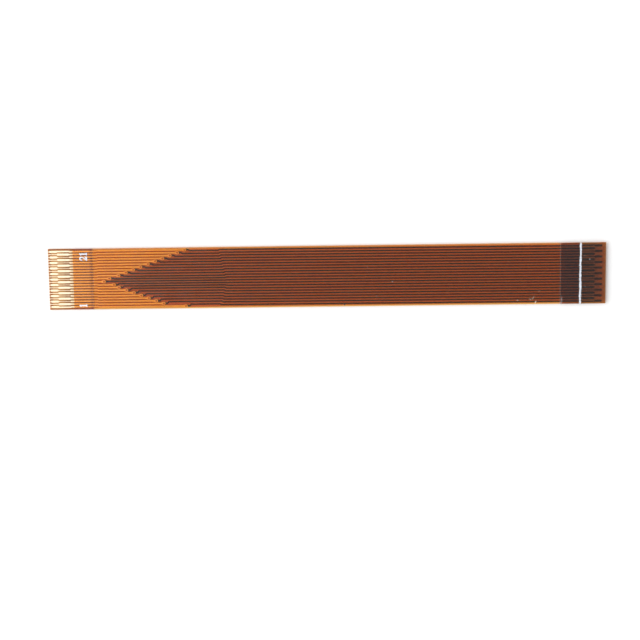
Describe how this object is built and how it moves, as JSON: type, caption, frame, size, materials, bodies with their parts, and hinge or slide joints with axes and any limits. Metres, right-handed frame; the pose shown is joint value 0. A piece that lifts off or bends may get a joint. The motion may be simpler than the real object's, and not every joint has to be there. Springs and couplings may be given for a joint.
{
  "type": "flat flex cable",
  "caption": "Thin amber flexible printed cable with gold contact rows and stiffened tips, bare on the front at one end and on the back at the other, joining two board connectors.",
  "frame": {"origin": "below the middle of the strip, level with its lowest face", "axes": "+X along the cable from the end with front contacts to the end with back contacts, +Y across it towards the last way, +Z out of the front face"},
  "size_m": [0.06, 0.0066, 0.0004],
  "materials": {
    "base_film": "clear amber polyimide film",
    "cover_film": "clear amber polyimide film with a slight sheen",
    "copper": "printed copper, dark on the side that faces the base film, gold plated where it is bare",
    "stiffener": "thick brown polyimide, satin",
    "white_ink": "screen-printed white ink"
  },
  "bodies": {
    "root": {"base_film": "base_film", "conductor_01": "copper", "conductor_02": "copper", "conductor_03": "copper", "conductor_04": "copper", "conductor_05": "copper", "conductor_06": "copper", "conductor_07": "copper", "conductor_08": "copper", "conductor_09": "copper", "conductor_10": "copper", "conductor_11": "copper", "conductor_12": "copper", "conductor_13": "copper", "conductor_14": "copper", "conductor_15": "copper", "conductor_16": "copper", "conductor_17": "copper", "conductor_18": "copper", "conductor_19": "copper", "conductor_20": "copper", "conductor_21": "copper", "front_cover_film": "cover_film", "back_cover_film": "cover_film", "front_stiffener": "stiffener", "back_stiffener": "stiffener", "front_guide_line": "white_ink", "back_guide_line": "white_ink"}
  },
  "joints": []
}
